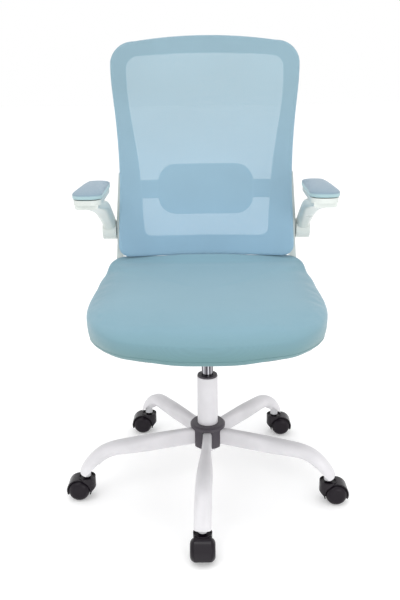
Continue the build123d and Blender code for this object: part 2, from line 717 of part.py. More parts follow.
with BuildPart() as assembly_screws:
    with BuildSketch(Plane.XZ.offset(-UPRIGHT_REAR)):
        with Locations(BACK_SCREWS):
            Circle(SCREW_RADIUS)
    extrude(amount=UPRIGHT_REAR - SCREW_TIP_Y)
    with BuildSketch(Plane.XZ.offset(-UPRIGHT_REAR - 3)):
        with Locations(BACK_SCREWS):
            Circle(5.5)
            RegularPolygon(2.2, 6, mode=Mode.SUBTRACT)
    extrude(amount=3)
    for places, head_z in ((FOOT_SCREWS, FOOT_BOTTOM), (PLATE_SCREWS, PAN_BOTTOM - PLATE_THICK)):
        with BuildSketch(Plane.XY.offset(head_z)):
            with Locations(places):
                Circle(SCREW_RADIUS)
        extrude(amount=PAN_BOTTOM + SCREW_GRIP - head_z)
        with BuildSketch(Plane.XY.offset(head_z - 3)):
            with Locations(places):
                Circle(5.5)
                RegularPolygon(2.2, 6, mode=Mode.SUBTRACT)
        extrude(amount=3)
save(assembly_screws, "assembly_screws")

# ---------------------------------------------------------------- flip-up armrests
PAD_BOTTOM = 725.0
PAD_TOP = 744.0
PAD_FRONT = -95.0
PAD_REAR = 130.0
PAD_HALF = 33.0
PAD_CORNER = 27.0
PLATE_INSET = 3.0
PAD_PLATE = 11.0
BOSS_RADIUS = 25.0
BOSS_WIDTH = 35.0
# blade sections: x, y and z of the middle, width, thickness and climb angle from the horizontal
BLADE = (
    (249, 220, 600, 34, 36, 58),
    (249, 209, 616, 34, 36, 52),
    (249, 180, 636, 35, 34, 40),
    (248.5, 120, 665, 38, 30, 26),
    (249, 50, 690, 47, 25, 15),
    (253, -20, 704, 55, 19, 6),
    (ARM_CENTRE, -86, 712, 50, 14, 0),
)


def blade_sections():
    """Draw the rounded sections of the armrest's blade, from its pivot to its front."""
    sections = []
    for x, y, z, wide, thick, climb in BLADE:
        along = (0, -cos(radians(climb)), sin(radians(climb)))
        with BuildSketch(Plane((x, y, z), x_dir=(1, 0, 0), z_dir=along)) as oval:
            RectangleRounded(wide, thick, thick * 0.4)
        sections.append(oval.sketch)
    return sections


def pad_outline(inset, height):
    """Draw the armrest pad's plan at a height, smaller all round by inset. It narrows to its rear."""
    with BuildSketch(Plane.XY.offset(height)) as face:
        with Locations(
            (ARM_CENTRE - PAD_HALF + PAD_CORNER, PAD_FRONT + PAD_CORNER),
            (ARM_CENTRE + PAD_HALF - PAD_CORNER, PAD_FRONT + PAD_CORNER),
            (ARM_CENTRE, PAD_REAR - PAD_CORNER),
        ):
            Circle(PAD_CORNER - inset)
        make_hull()
    return face.sketch


with BuildPart() as arm_right:
    loft(blade_sections())
    extrude(pad_outline(PLATE_INSET, PAD_BOTTOM - PAD_PLATE), amount=PAD_PLATE)
    with BuildSketch(Plane.YZ.offset(ARM_INNER)):
        with Locations(ARM_PIVOT):
            Circle(BOSS_RADIUS)
    extrude(amount=BOSS_WIDTH)
    with BuildSketch(Plane.YZ.offset(ARM_INNER - 2)):
        with Locations(ARM_PIVOT):
            Circle(ARM_PIN_RADIUS + RUN)
    extrude(amount=27, mode=Mode.SUBTRACT)
save(arm_right, "arm_right")
mirrored_copy(arm_right.part, "arm_left")

with BuildPart() as arm_pad_right:
    extrude(pad_outline(0, PAD_BOTTOM), amount=PAD_TOP - PAD_BOTTOM)
    fillet(arm_pad_right.edges().group_by(Axis.Z)[-1], 8)
save(arm_pad_right, "arm_pad_right")
mirrored_copy(arm_pad_right.part, "arm_pad_left")
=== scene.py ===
"""Looks of a swivel office chair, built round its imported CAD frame.

Metres, +Z up, the chair faces -Y.
"""

import json
from math import cos, pi, radians, sin

import bmesh
import bpy
from mathutils import Matrix, Vector
from mathutils.bvhtree import BVHTree
from mathutils.kdtree import KDTree


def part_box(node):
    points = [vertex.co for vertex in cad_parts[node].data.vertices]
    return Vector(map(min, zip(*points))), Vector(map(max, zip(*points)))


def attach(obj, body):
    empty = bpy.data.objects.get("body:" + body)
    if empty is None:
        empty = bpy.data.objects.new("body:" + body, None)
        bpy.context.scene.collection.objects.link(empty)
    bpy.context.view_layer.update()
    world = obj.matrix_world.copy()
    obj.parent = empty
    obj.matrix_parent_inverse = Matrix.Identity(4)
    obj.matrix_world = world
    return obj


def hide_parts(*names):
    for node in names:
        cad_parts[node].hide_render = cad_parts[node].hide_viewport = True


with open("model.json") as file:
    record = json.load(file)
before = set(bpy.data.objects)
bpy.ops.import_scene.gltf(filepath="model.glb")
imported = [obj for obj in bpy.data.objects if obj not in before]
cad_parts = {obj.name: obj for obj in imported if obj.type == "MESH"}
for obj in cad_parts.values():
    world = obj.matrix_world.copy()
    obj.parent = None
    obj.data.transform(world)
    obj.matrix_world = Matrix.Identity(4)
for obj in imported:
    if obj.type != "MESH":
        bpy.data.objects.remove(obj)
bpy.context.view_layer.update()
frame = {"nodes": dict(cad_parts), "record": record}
NODES = frame["nodes"]

UP = Vector((0, 0, 1))
DOWN = Vector((0, 0, -1))
FORWARD = Vector((0, -1, 0))
TINY = 1e-9  # keeps a division by a length away from zero

# ------------------------------------------------------------------ camera, light and floor
CAMERA_PLACE = (0.0, -1.549, 0.961)
CAMERA_PITCH = 17.45  # degrees down
CAMERA_YAW = -0.585
CAMERA_ROLL = -0.66
CAMERA_LENS = 41.4
FLOOR_SIZE = 60.0


def make_camera():
    """Look at the chair from in front and a little above."""
    yaw, pitch, roll = radians(CAMERA_YAW), radians(CAMERA_PITCH), radians(CAMERA_ROLL)
    ahead = Vector((sin(yaw) * cos(pitch), cos(yaw) * cos(pitch), -sin(pitch)))
    level = Vector((cos(yaw), -sin(yaw), 0))
    above = level.cross(ahead)
    right = level * cos(roll) + above * sin(roll)
    top = above * cos(roll) - level * sin(roll)
    data = bpy.data.cameras.new("camera")
    data.lens = CAMERA_LENS
    data.sensor_width = 36.0
    camera = bpy.data.objects.new("camera", data)
    turn = Matrix((right, top, -ahead)).transposed().to_4x4()
    camera.matrix_world = Matrix.Translation(CAMERA_PLACE) @ turn
    bpy.context.scene.collection.objects.link(camera)
    bpy.context.scene.camera = camera


def area_light(name, place, target, size, power):
    """Add a soft square light that looks at a target."""
    data = bpy.data.lights.new(name, "AREA")
    data.size = size
    data.energy = power
    light = bpy.data.objects.new(name, data)
    light.location = place
    light.rotation_euler = (Vector(target) - Vector(place)).to_track_quat("-Z", "Y").to_euler()
    bpy.context.scene.collection.objects.link(light)


def make_stage():
    """White studio: bright surroundings, soft lights from above and in front, and a pale floor."""
    world = bpy.data.worlds.new("studio")
    bpy.context.scene.world = world
    world.use_nodes = True
    back = world.node_tree.nodes["Background"]
    back.inputs["Color"].default_value = (1.0, 1.0, 1.0, 1)
    back.inputs["Strength"].default_value = 1.0
    area_light("key", (-1.2, -1.6, 2.6), (0, 0, 0.6), 1.4, 11)
    area_light("fill", (1.1, -2.0, 0.9), (0, 0, 0.55), 1.2, 9)
    area_light("top", (0, 0.0, 2.8), (0, 0, 0.4), 1.2, 15)
    bpy.ops.mesh.primitive_plane_add(size=FLOOR_SIZE, location=(0, 0, -0.0005))
    floor = bpy.context.object
    floor.name = "floor"
    floor.data.materials.append(studio_floor())
    bpy.context.scene.view_settings.view_transform = "Standard"


# ------------------------------------------------------------------ materials
def new_material(name, colour, roughness, **sockets):
    """A Principled material. Returns it with its node tree and shader."""
    material = bpy.data.materials.new(name)
    material.use_nodes = True
    tree = material.node_tree
    shader = tree.nodes["Principled BSDF"]
    shader.inputs["Base Color"].default_value = (*colour, 1)
    shader.inputs["Roughness"].default_value = roughness
    for socket, value in sockets.items():
        shader.inputs[socket.replace("_", " ")].default_value = value
    return material, tree, shader


def place_coordinates(tree, stretch=(1, 1, 1)):
    """Object coordinates, which are the chair's own frame in metres, scaled along each axis."""
    coordinates = tree.nodes.new("ShaderNodeTexCoord")
    mapping = tree.nodes.new("ShaderNodeMapping")
    mapping.inputs["Scale"].default_value = stretch
    tree.links.new(coordinates.outputs["Object"], mapping.inputs["Vector"])
    return mapping.outputs["Vector"]


def noise(tree, vector, scale, detail=3.0):
    """A noise texture's value."""
    node = tree.nodes.new("ShaderNodeTexNoise")
    node.inputs["Scale"].default_value = scale
    node.inputs["Detail"].default_value = detail
    tree.links.new(vector, node.inputs["Vector"])
    return node.outputs["Fac"]


def ramp(tree, value, stops):
    """Map a value through colour stops, given as (position, colour)."""
    node = tree.nodes.new("ShaderNodeValToRGB")
    elements = node.color_ramp.elements
    while len(elements) < len(stops):
        elements.new(0.5)
    for element, (position, colour) in zip(elements, stops):
        element.position = position
        element.color = (*colour, 1)
    tree.links.new(value, node.inputs["Fac"])
    return node.outputs["Color"]


def remap(tree, value, low, high):
    """Map a value from 0..1 to low..high."""
    node = tree.nodes.new("ShaderNodeMapRange")
    node.inputs["To Min"].default_value = low
    node.inputs["To Max"].default_value = high
    tree.links.new(value, node.inputs["Value"])
    return node.outputs["Result"]


def maths(tree, operation, first, second):
    """One arithmetic step on values or numbers."""
    node = tree.nodes.new("ShaderNodeMath")
    node.operation = operation
    for socket, value in zip(node.inputs, (first, second)):
        if isinstance(value, (int, float)):
            socket.default_value = value
        else:
            tree.links.new(value, socket)
    return node.outputs["Value"]


def bump(tree, shader, height, strength, distance):
    """Give a shader relief from a height value."""
    node = tree.nodes.new("ShaderNodeBump")
    node.inputs["Strength"].default_value = strength
    node.inputs["Distance"].default_value = distance
    tree.links.new(height, node.inputs["Height"])
    tree.links.new(node.outputs["Normal"], shader.inputs["Normal"])


def shade(colour, factor):
    """A lighter or darker version of a colour."""
    return tuple(min(1.0, channel * factor) for channel in colour)


def studio_floor():
    """Pale matt floor with a barely visible mottle."""
    material, tree, shader = new_material("studio_floor", (0.9, 0.9, 0.9), 0.8, Emission_Strength=0.2)
    shader.inputs["Emission Color"].default_value = (1, 1, 1, 1)
    mottle = noise(tree, place_coordinates(tree), 3.0)
    tone = ramp(tree, mottle, ((0.3, (0.89, 0.89, 0.89)), (0.7, (0.91, 0.91, 0.91))))
    tree.links.new(tone, shader.inputs["Base Color"])
    return material


def moulded(name, colour, roughness, grain=900.0, relief=0.25, wear=0.12, **sockets):
    """Moulded plastic or paint: fine grain, slow mottle in colour and gloss, and paler worn edges."""
    material, tree, shader = new_material(name, colour, roughness, **sockets)
    where = place_coordinates(tree)
    slow = noise(tree, where, 14.0, 5.0)
    fine = noise(tree, where, grain, 2.0)
    body = ramp(tree, slow, ((0.3, shade(colour, 0.93)), (0.7, shade(colour, 1.06))))
    edges = tree.nodes.new("ShaderNodeNewGeometry")
    worn = ramp(tree, edges.outputs["Pointiness"], ((0.5, (0, 0, 0)), (0.58, (wear, wear, wear))))
    mix = tree.nodes.new("ShaderNodeMix")
    mix.data_type = "RGBA"
    mix.blend_type = "ADD"
    mix.inputs["Factor"].default_value = 1.0
    tree.links.new(body, mix.inputs["A"])
    tree.links.new(worn, mix.inputs["B"])
    tree.links.new(mix.outputs["Result"], shader.inputs["Base Color"])
    tree.links.new(remap(tree, slow, roughness - 0.07, roughness + 0.09), shader.inputs["Roughness"])
    bump(tree, shader, fine, relief, 0.0004)
    return material


def metal(name, colour, roughness):
    """Plated metal with a fine drawn grain in its gloss and tone."""
    material, tree, shader = new_material(name, colour, roughness, Metallic=1.0)
    drawn = noise(tree, place_coordinates(tree), 500.0, 4.0)
    tone = ramp(tree, drawn, ((0.25, shade(colour, 0.82)), (0.75, shade(colour, 1.1))))
    tree.links.new(tone, shader.inputs["Base Color"])
    tree.links.new(remap(tree, drawn, roughness * 0.6, roughness * 1.5), shader.inputs["Roughness"])
    bump(tree, shader, drawn, 0.06, 0.0003)
    return material


def chrome():
    """Polished lift cylinder: dark and bright bands of painted reflection run down it, with faint drawn
    lines.
    """
    material, tree, shader = new_material("chrome", (0.6, 0.6, 0.62), 0.16, Metallic=1.0)
    painted_reflection_bands = noise(tree, place_coordinates(tree, (1, 1, 0.02)), 190.0, 1.0)
    lines = noise(tree, place_coordinates(tree, (1, 1, 0.04)), 1500.0, 2.0)
    # painted reflection: the dark, middle and bright bands in the colour stand in for reflected
    # surroundings
    dark, middle, bright = (0.03, 0.028, 0.034), (0.17, 0.165, 0.18), (0.5, 0.5, 0.53)
    tone = ramp(tree, painted_reflection_bands, ((0.42, dark), (0.52, middle), (0.64, bright)))
    tree.links.new(tone, shader.inputs["Base Color"])
    tree.links.new(remap(tree, lines, 0.1, 0.28), shader.inputs["Roughness"])
    bump(tree, shader, lines, 0.05, 0.0002)
    return material


def threads(tree, where, pitch, axis):
    """A row of rounded threads, as a 0..1 height that repeats every pitch metres along one axis."""
    split = tree.nodes.new("ShaderNodeSeparateXYZ")
    tree.links.new(where, split.inputs["Vector"])
    wave = maths(tree, "SINE", maths(tree, "MULTIPLY", split.outputs[axis], 2 * pi / pitch), 0.0)
    return maths(tree, "MULTIPLY_ADD", wave, 0.5)


def height_blend(tree, low_z, high_z, low, high):
    """Fade from one colour to another between two heights of the chair."""
    coordinates = tree.nodes.new("ShaderNodeTexCoord")
    split = tree.nodes.new("ShaderNodeSeparateXYZ")
    tree.links.new(coordinates.outputs["Object"], split.inputs["Vector"])
    level = tree.nodes.new("ShaderNodeMapRange")
    level.inputs["From Min"].default_value = low_z
    level.inputs["From Max"].default_value = high_z
    tree.links.new(split.outputs["Z"], level.inputs["Value"])
    return ramp(tree, level.outputs["Result"], ((0.0, low), (1.0, high)))


def multiply(tree, first, second):
    """The product of two colours."""
    mix = tree.nodes.new("ShaderNodeMix")
    mix.data_type = "RGBA"
    mix.blend_type = "MULTIPLY"
    mix.inputs["Factor"].default_value = 1.0
    tree.links.new(first, mix.inputs["A"])
    tree.links.new(second, mix.inputs["B"])
    return mix.outputs["Result"]


CLOTH_ROUGHNESS = 0.85


def woven(name, colour, pitch, relief, across=("X", "Y"), lower=None):
    """Plain-woven cloth: crossed threads, slubs, slow shade changes and a soft sheen.

    lower is a tint below the pad's edge and the two heights between which it fades out: on the seat it
    is painted shade, darker teal on the lower front; on the armrest pads it is a paler cloth band along
    the edge.
    """
    material, tree, shader = new_material(
        name, colour, CLOTH_ROUGHNESS, Sheen_Weight=0.35, Sheen_Roughness=0.45, Specular_IOR_Level=0.25
    )
    where = place_coordinates(tree)
    first = threads(tree, where, pitch, across[0])
    second = threads(tree, where, pitch, across[1])
    weave = maths(tree, "MAXIMUM", first, second)
    slub = noise(tree, where, 260.0, 4.0)
    slow = noise(tree, where, 6.0, 3.0)
    height = maths(tree, "ADD", weave, maths(tree, "MULTIPLY", slub, 0.7))
    tone = maths(tree, "ADD", maths(tree, "MULTIPLY", slow, 0.6), maths(tree, "MULTIPLY", weave, 0.4))
    if lower is None:
        cloth = ramp(tree, tone, ((0.2, shade(colour, 0.9)), (0.55, colour), (0.9, shade(colour, 1.08))))
    else:
        # on the seat this tint is painted shade, darker teal low on the cushion; on the armrest pads it
        # is a paler edge band
        tint, low_z, high_z = lower
        height_tint_and_painted_light = height_blend(tree, low_z, high_z, tint, colour)
        mottle = ramp(tree, tone, ((0.2, (0.9, 0.9, 0.9)), (0.9, (1.0, 1.0, 1.0))))
        cloth = multiply(tree, height_tint_and_painted_light, mottle)
    tree.links.new(cloth, shader.inputs["Base Color"])
    gloss = remap(tree, slub, CLOTH_ROUGHNESS - 0.1, CLOTH_ROUGHNESS + 0.08)
    tree.links.new(gloss, shader.inputs["Roughness"])
    bump(tree, shader, height, relief, 0.0005)
    return material


def net(name, low, high, pitch, cover):
    """Knitted net whose blue changes up the back as painted light and shade, lighter low down and darker
    at the top: threads with small holes between them.
    """
    material, tree, shader = new_material(
        name, high, 0.7, Sheen_Weight=0.2, Sheen_Roughness=0.4, Specular_IOR_Level=0.2
    )
    where = place_coordinates(tree)
    weave = maths(tree, "MAXIMUM", threads(tree, where, pitch, "X"), threads(tree, where, pitch, "Z"))
    slow = noise(tree, where, 7.0, 3.0)
    mottle = ramp(tree, slow, ((0.3, (0.94, 0.94, 0.94)), (0.7, (1.0, 1.0, 1.0))))
    # painted light and shade: a lighter blue low on the back, darker towards the top
    height_tint_and_painted_light = height_blend(tree, 0.56, 0.95, low, high)
    tree.links.new(multiply(tree, height_tint_and_painted_light, mottle), shader.inputs["Base Color"])
    tree.links.new(remap(tree, slow, 0.62, 0.78), shader.inputs["Roughness"])
    edge = 1 - cover
    hole = tree.nodes.new("ShaderNodeMapRange")
    hole.inputs["From Min"].default_value = edge
    hole.inputs["From Max"].default_value = edge + 0.12
    tree.links.new(weave, hole.inputs["Value"])
    tree.links.new(hole.outputs["Result"], shader.inputs["Alpha"])
    bump(tree, shader, weave, 0.5, 0.0004)
    return material


SEAT_BLUE = (0.205, 0.35, 0.42)
# painted shade: the darker teal that the cushion's lower front fades to
SEAT_PAINTED_SHADE = (0.138, 0.263, 0.282)
PAD_BLUE = (0.215, 0.30, 0.37)
PAD_CYAN = (0.37, 0.53, 0.56)
# painted shade at the top of the net and painted light at its bottom
NET_HIGH_PAINTED_SHADE = (0.268, 0.402, 0.472)
NET_LOW_PAINTED_LIGHT = (0.345, 0.535, 0.68)
FRAME_BLUE = (0.26, 0.42, 0.53)

FINISHES = {
    "white_steel": moulded("powder_coat", (0.68, 0.67, 0.692), 0.42, grain=420, relief=0.18, wear=0.03),
    "grey_nylon": moulded("grey_nylon", (0.5, 0.5, 0.52), 0.5),
    "black_plastic": moulded("black_plastic", (0.040, 0.032, 0.044), 0.45, relief=0.35, wear=0.02),
    "castor_nylon": moulded(
        "castor_hood_nylon", (0.007, 0.004, 0.008), 0.24, relief=0.05, wear=0.01, Specular_IOR_Level=0.22
    ),
    "castor_wheel": moulded(
        "castor_wheel_nylon", (0.008, 0.005, 0.009), 0.3, relief=0.12, wear=0.01, Specular_IOR_Level=0.22
    ),
    "zinc_steel": metal("zinc_plate", (0.5, 0.5, 0.49), 0.34),
    "chrome": chrome(),
    "black_steel": moulded("black_paint", (0.03, 0.03, 0.032), 0.45, grain=500, wear=0.05),
    "seat_fabric": woven("seat_cloth", SEAT_BLUE, 0.0016, 0.3, lower=(SEAT_PAINTED_SHADE, 0.425, 0.478)),
    "white_plastic": moulded("white_plastic", (0.62, 0.66, 0.63), 0.3, relief=0.08, wear=0.02),
    "arm_pad": woven("arm_pad_cloth", PAD_BLUE, 0.0012, 0.25, lower=(PAD_CYAN, 0.733, 0.736)),
    "blue_plastic": moulded("blue_plastic", FRAME_BLUE, 0.5, relief=0.2, wear=0.02),
    "blue_mesh": net("back_net", NET_LOW_PAINTED_LIGHT, NET_HIGH_PAINTED_SHADE, 0.0021, 0.76),
    "lumbar_foam": woven("lumbar_cloth", FRAME_BLUE, 0.0014, 0.3, across=("X", "Z")),
}


def dress_nodes():
    """Give every CAD node the finish of its material slot."""
    for part in frame["record"]["subparts"]:
        data = NODES[part["node"]].data
        data.materials.clear()
        data.materials.append(FINISHES[part["material_slot"]])


# ------------------------------------------------------------------ mesh helpers
CLOTH_STEPS = 20
CLOTH_NEIGHBOURS = 8  # a point follows the mean move of this many points of the copy


def rim(node, facing):
    """The outline of a CAD node's cap that faces one way, as an ordered ring of points."""
    mesh = bmesh.new()
    mesh.from_mesh(NODES[node].data)
    bmesh.ops.remove_doubles(mesh, verts=mesh.verts, dist=2e-5)
    mesh.normal_update()
    neighbours = {}
    for edge in mesh.edges:
        if len(edge.link_faces) == 2:
            towards = [face.normal.dot(facing) > 0.6 for face in edge.link_faces]
            if towards[0] != towards[1]:
                first, second = edge.verts
                neighbours.setdefault(first, []).append(second)
                neighbours.setdefault(second, []).append(first)
    loops = []
    while neighbours:
        here = next(iter(neighbours))
        loop = []
        while here in neighbours:
            loop.append(here.co.copy())
            onward = [vertex for vertex in neighbours.pop(here) if vertex in neighbours]
            if not onward:
                break
            here = onward[0]
        loops.append(loop)
    mesh.free()
    return max(loops, key=ring_length)


def plan_hull(node):
    """The convex outline of a CAD node seen from above, as an ordered ring of points."""
    places = sorted({(round(v.co.x, 5), round(v.co.y, 5)) for v in NODES[node].data.vertices})
    ring = []
    for row in (places, places[::-1]):
        start = len(ring)
        for place in row:
            point = Vector((*place, 0))
            while len(ring) > start + 1 and (ring[-1] - ring[-2]).cross(point - ring[-1]).z <= 0:
                ring.pop()
            ring.append(point)
        ring.pop()
    return ring


def ring_length(points):
    """Length round a closed ring."""
    return sum((points[i] - points[i - 1]).length for i in range(len(points)))


def even_ring(points, count):
    """Points spread evenly round a closed ring, counterclockwise, from the point nearest the front."""
    area = sum(points[i - 1].cross(points[i]).z for i in range(len(points)))
    if area < 0:
        points = points[::-1]
    start = min(range(len(points)), key=lambda i: (round(abs(points[i].x), 3), points[i].y))
    points = points[start:] + points[:start]
    step = ring_length(points) / count
    result, walked = [], 0.0
    for i, point in enumerate(points):
        span = points[(i + 1) % len(points)] - point
        while len(result) * step <= walked + span.length and len(result) < count:
            share = (len(result) * step - walked) / max(span.length, TINY)
            result.append(point + span * share)
        walked += span.length
    return result


def smooth_object(name, mesh):
    """Put a finished bmesh in the scene as a smooth object."""
    bmesh.ops.recalc_face_normals(mesh, faces=mesh.faces)
    data = bpy.data.meshes.new(name)
    mesh.to_mesh(data)
    mesh.free()
    data.polygons.foreach_set("use_smooth", [True] * len(data.polygons))
    piece = bpy.data.objects.new(name, data)
    bpy.context.scene.collection.objects.link(piece)
    return piece


def ring_mesh(name, rings, centre_first, centre_last=None):
    """A smooth mesh through rings of points that starts, and may end, at a single point."""
    mesh = bmesh.new()
    grid = [[mesh.verts.new(point) for point in ring] for ring in rings]
    count = len(rings[0])
    for inner, outer in zip(grid, grid[1:]):
        for i in range(count):
            mesh.faces.new((inner[i - 1], inner[i], outer[i], outer[i - 1]))
    for centre, ring in ((centre_first, grid[0]), (centre_last, grid[-1])):
        if centre is not None:
            tip = mesh.verts.new(centre)
            for i in range(count):
                mesh.faces.new((ring[i - 1], ring[i], tip))
    return smooth_object(name, mesh)


def apply_modifiers(piece):
    """Turn a piece's modifiers into its mesh."""
    bpy.context.view_layer.update()
    shaped = piece.evaluated_get(bpy.context.evaluated_depsgraph_get())
    data = bpy.data.meshes.new_from_object(shaped)
    piece.modifiers.clear()
    piece.data = data
    data.polygons.foreach_set("use_smooth", [True] * len(data.polygons))


def puff(piece, voxel, pressure, cap, free):
    """Inflate a remeshed copy of a pad as cloth, and move the pad's own points as the copy's skin moved.

    No point moves further than cap. free says how far a point may follow, from 0 to 1.
    """
    subdivide = piece.modifiers.new("subdivide", "SUBSURF")
    subdivide.levels = 1
    shell = piece.copy()
    shell.data = piece.data.copy()
    shell.modifiers.clear()
    bpy.context.scene.collection.objects.link(shell)
    remesh = shell.modifiers.new("remesh", "REMESH")
    remesh.mode = "VOXEL"
    remesh.voxel_size = voxel
    apply_modifiers(shell)
    rest = [vertex.co.copy() for vertex in shell.data.vertices]
    cloth = shell.modifiers.new("cloth", "CLOTH")
    cloth.settings.use_pressure = True
    cloth.settings.uniform_pressure_force = pressure
    cloth.settings.effector_weights.gravity = 0
    scene = bpy.context.scene
    for step in range(1, CLOTH_STEPS + 1):
        scene.frame_set(step)
    apply_modifiers(shell)
    scene.frame_set(1)
    moves = [vertex.co - place for vertex, place in zip(shell.data.vertices, rest)]
    nearby = KDTree(len(rest))
    for i, place in enumerate(rest):
        nearby.insert(place, i)
    nearby.balance()
    bpy.data.objects.remove(shell)
    apply_modifiers(piece)
    for vertex in piece.data.vertices:
        found = [moves[i] for _, i, _ in nearby.find_n(vertex.co, CLOTH_NEIGHBOURS)]
        move = sum(found, Vector()) / len(found)
        vertex.co += move * min(1.0, cap / max(move.length, TINY)) * free(vertex.co)


def finish_piece(piece, body, slot):
    """Give a new piece its finish and let it move with a body."""
    piece.data.materials.clear()
    piece.data.materials.append(FINISHES[slot])
    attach(piece, body)


def surface_of(node):
    """A CAD node's surface, to look up points on it."""
    return surface_of_mesh(NODES[node].data)


def surface_of_mesh(data):
    """A mesh's surface, to look up points on it."""
    mesh = bmesh.new()
    mesh.from_mesh(data)
    tree = BVHTree.FromBMesh(mesh)
    mesh.free()
    return tree


def between(value, low, high):
    """Smooth step from 0 at low to 1 at high."""
    part = min(max((value - low) / (high - low), 0.0), 1.0)
    return part * part * (3 - 2 * part)


# ------------------------------------------------------------------ seat cushion
CUSHION_POINTS = 160
CROWN_LINE = (  # y and z along the top's middle: waterfall front, shallow dish, raised rear
    (-0.268, 0.466),
    (-0.22, 0.486),
    (-0.15, 0.494),
    (-0.05, 0.498),
    (0.05, 0.503),
    (0.12, 0.5095),
    (0.165, 0.521),
    (0.2, 0.5345),
)
REAR_CROWN = 0.0085  # the rear edge rises by this much at its middle
RIM_HEIGHT = 0.4095  # the cover is pulled down round the pan to here
RIM_RISE = 0.004  # the front's lower edge rises by this much towards its corners
RIM_INSET = 0.016
FRONT_RIM_INSET = 0.019
CORNER_RIM_INSET = 0.006  # added at the front corners
REAR_RIM_INSET = 0.010  # taken off at the rear
HEM_INSETS = (0.003, 0.0045)  # added under the rim, where the cover turns in to the pan
WIDEST_HEIGHT = 0.454  # height of the cushion's widest line at its front
SIDE_RISE = 0.014  # that line rises by this much to the sides
REAR_RISE = 0.036  # and by this much more to the rear
CROWN_STEPS = 16
CROWN_POWER = 3.0  # how square the crown is at the front
SIDE_POWER = 1.6  # added along the sides
REAR_POWER = 11.0  # added at the rear
SIDE_EXTRA = 0.007  # the sides start wider by this much, because the cloth draws them in
REAR_EXTRA = 0.004  # and by this much more towards the rear
SEAM_SHARE = 0.62  # the seam sits this far down the pulled-in side
SEAM_RISE = 0.011  # and this far above the rim
CLEARANCE = 0.0006  # kept between soft pieces and what they rest on


def along_line(stations, place):
    """Height at a place of the straight runs between stations, held level past the last."""
    for (start, low), (end, high) in zip(stations, stations[1:]):
        if place <= end:
            break
    part = min(max((place - start) / (end - start), 0.0), 1.0)
    return low + (high - low) * part


def inset_ring(points, inset):
    """A ring pulled in by a distance, which may differ from point to point."""
    count = len(points)
    ring = []
    for i, point in enumerate(points):
        ahead = points[(i + 2) % count] - points[i - 2]
        inward = Vector((-ahead.y, ahead.x, 0)).normalized()
        ring.append(point + inward * inset(point))
    return ring


SEAM_RADIUS = 0.0011
CORD_SIDES = 6


def seam_cord(name, ring):
    """A thin round cord that follows a closed ring of points."""
    mesh = bmesh.new()
    grid = []
    count = len(ring)
    for i, point in enumerate(ring):
        along = (ring[(i + 1) % count] - ring[i - 1]).normalized()
        side = along.cross(UP).normalized()
        rise = side.cross(along)
        section = []
        for k in range(CORD_SIDES):
            turn = 2 * pi * k / CORD_SIDES
            offset = side * SEAM_RADIUS * cos(turn) + rise * SEAM_RADIUS * sin(turn)
            section.append(mesh.verts.new(point + offset))
        grid.append(section)
    for i in range(count):
        for k in range(CORD_SIDES):
            mesh.faces.new((grid[i - 1][k - 1], grid[i - 1][k], grid[i][k], grid[i][k - 1]))
    return smooth_object(name, mesh)


